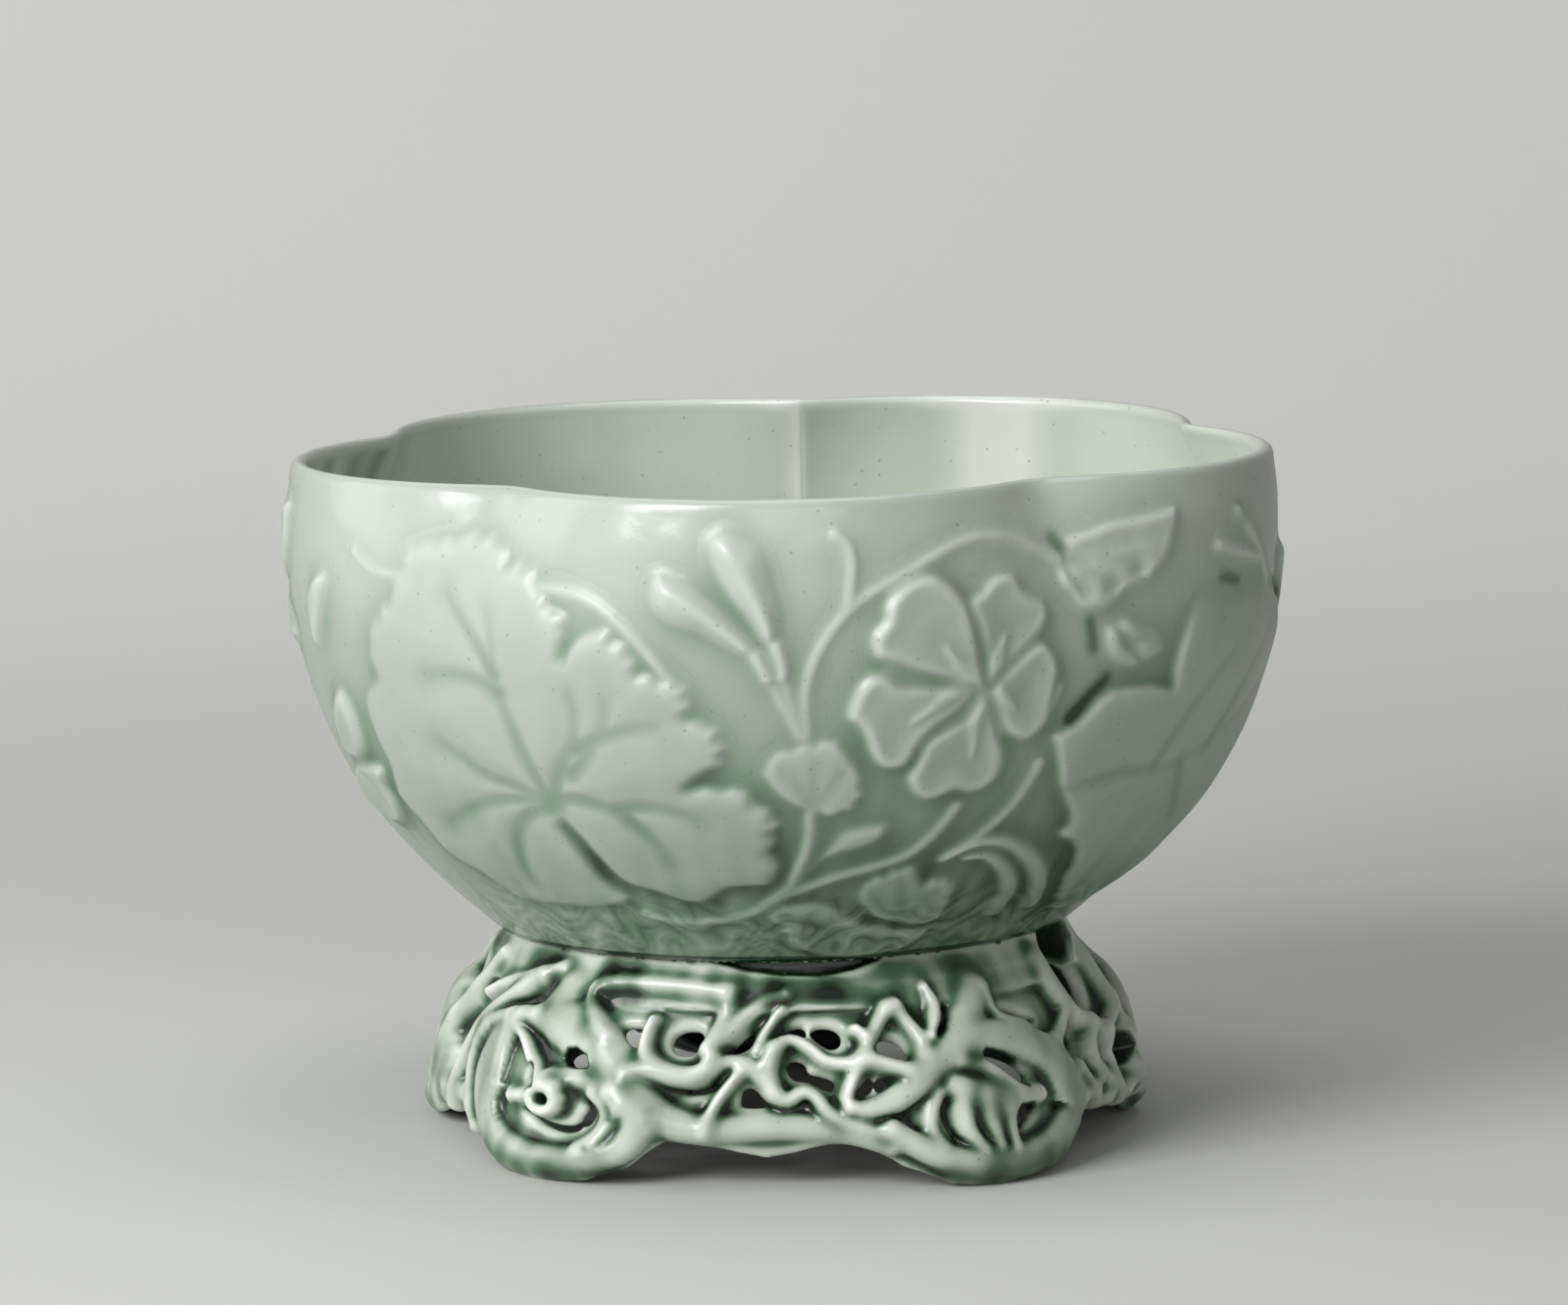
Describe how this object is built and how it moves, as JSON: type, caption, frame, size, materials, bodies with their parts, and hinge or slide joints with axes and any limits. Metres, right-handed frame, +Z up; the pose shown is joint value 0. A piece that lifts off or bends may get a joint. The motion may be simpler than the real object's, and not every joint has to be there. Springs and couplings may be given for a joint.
{
  "type": "footed fruit bowl",
  "caption": "Footed fruit bowl with a lobed body, raised leaf and flower sprigs, and a pierced stand of scroll feet and branch panels.",
  "frame": {"origin": "middle of the footprint's bounding box, on the surface that the feet rest on", "axes": "+Z up out of the bowl's mouth, -Y towards the front, +X to the right seen from the front"},
  "size_m": [0.2574, 0.2582, 0.1802],
  "materials": {
    "bowl_glaze": "glossy celadon glaze over white porcelain, pooled green in the hollows",
    "sprig_glaze": "glossy celadon glaze, thinner and paler on the raised edges",
    "stand_glaze": "glossy celadon glaze, white on the ridges and deep green in the recesses"
  },
  "bodies": {
    "root": {"arching_stalk_back": "sprig_glaze", "arching_stalk_front": "sprig_glaze", "arching_stalk_left": "sprig_glaze", "bell_flower_back": "sprig_glaze", "bell_flower_front": "sprig_glaze", "bell_flower_left": "sprig_glaze", "blossom_back": "sprig_glaze", "blossom_front": "sprig_glaze", "blossom_left": "sprig_glaze", "bowl_shell": "bowl_glaze", "broad_leaf_back": "sprig_glaze", "broad_leaf_front": "sprig_glaze", "bud_pair_back": "sprig_glaze", "bud_pair_front": "sprig_glaze", "curled_tendril_back": "sprig_glaze", "curled_tendril_front": "sprig_glaze", "foot_leaf_back_1": "sprig_glaze", "foot_leaf_back_2": "sprig_glaze", "foot_leaf_front_1": "sprig_glaze", "foot_leaf_front_2": "sprig_glaze", "foot_leaf_left_1": "sprig_glaze", "foot_leaf_left_2": "sprig_glaze", "low_leaf_left": "sprig_glaze", "low_stalk_back": "sprig_glaze", "low_stalk_front": "sprig_glaze", "low_stalk_left": "sprig_glaze", "pierced_panel_back_left": "stand_glaze", "pierced_panel_back_right": "stand_glaze", "pierced_panel_front": "stand_glaze", "pierced_panel_right": "stand_glaze", "round_leaf_back": "sprig_glaze", "round_leaf_front": "sprig_glaze", "round_leaf_left": "sprig_glaze", "scroll_foot_back": "stand_glaze", "scroll_foot_front_left": "stand_glaze", "scroll_foot_front_right": "stand_glaze", "scroll_foot_left": "stand_glaze", "scroll_foot_right": "stand_glaze", "seat_collar": "stand_glaze", "seed_pod_left": "sprig_glaze", "slim_leaf_left": "sprig_glaze", "small_leaf_back": "sprig_glaze", "small_leaf_front": "sprig_glaze", "trailing_leaf_back": "sprig_glaze", "trailing_leaf_front": "sprig_glaze"}
  },
  "joints": []
}
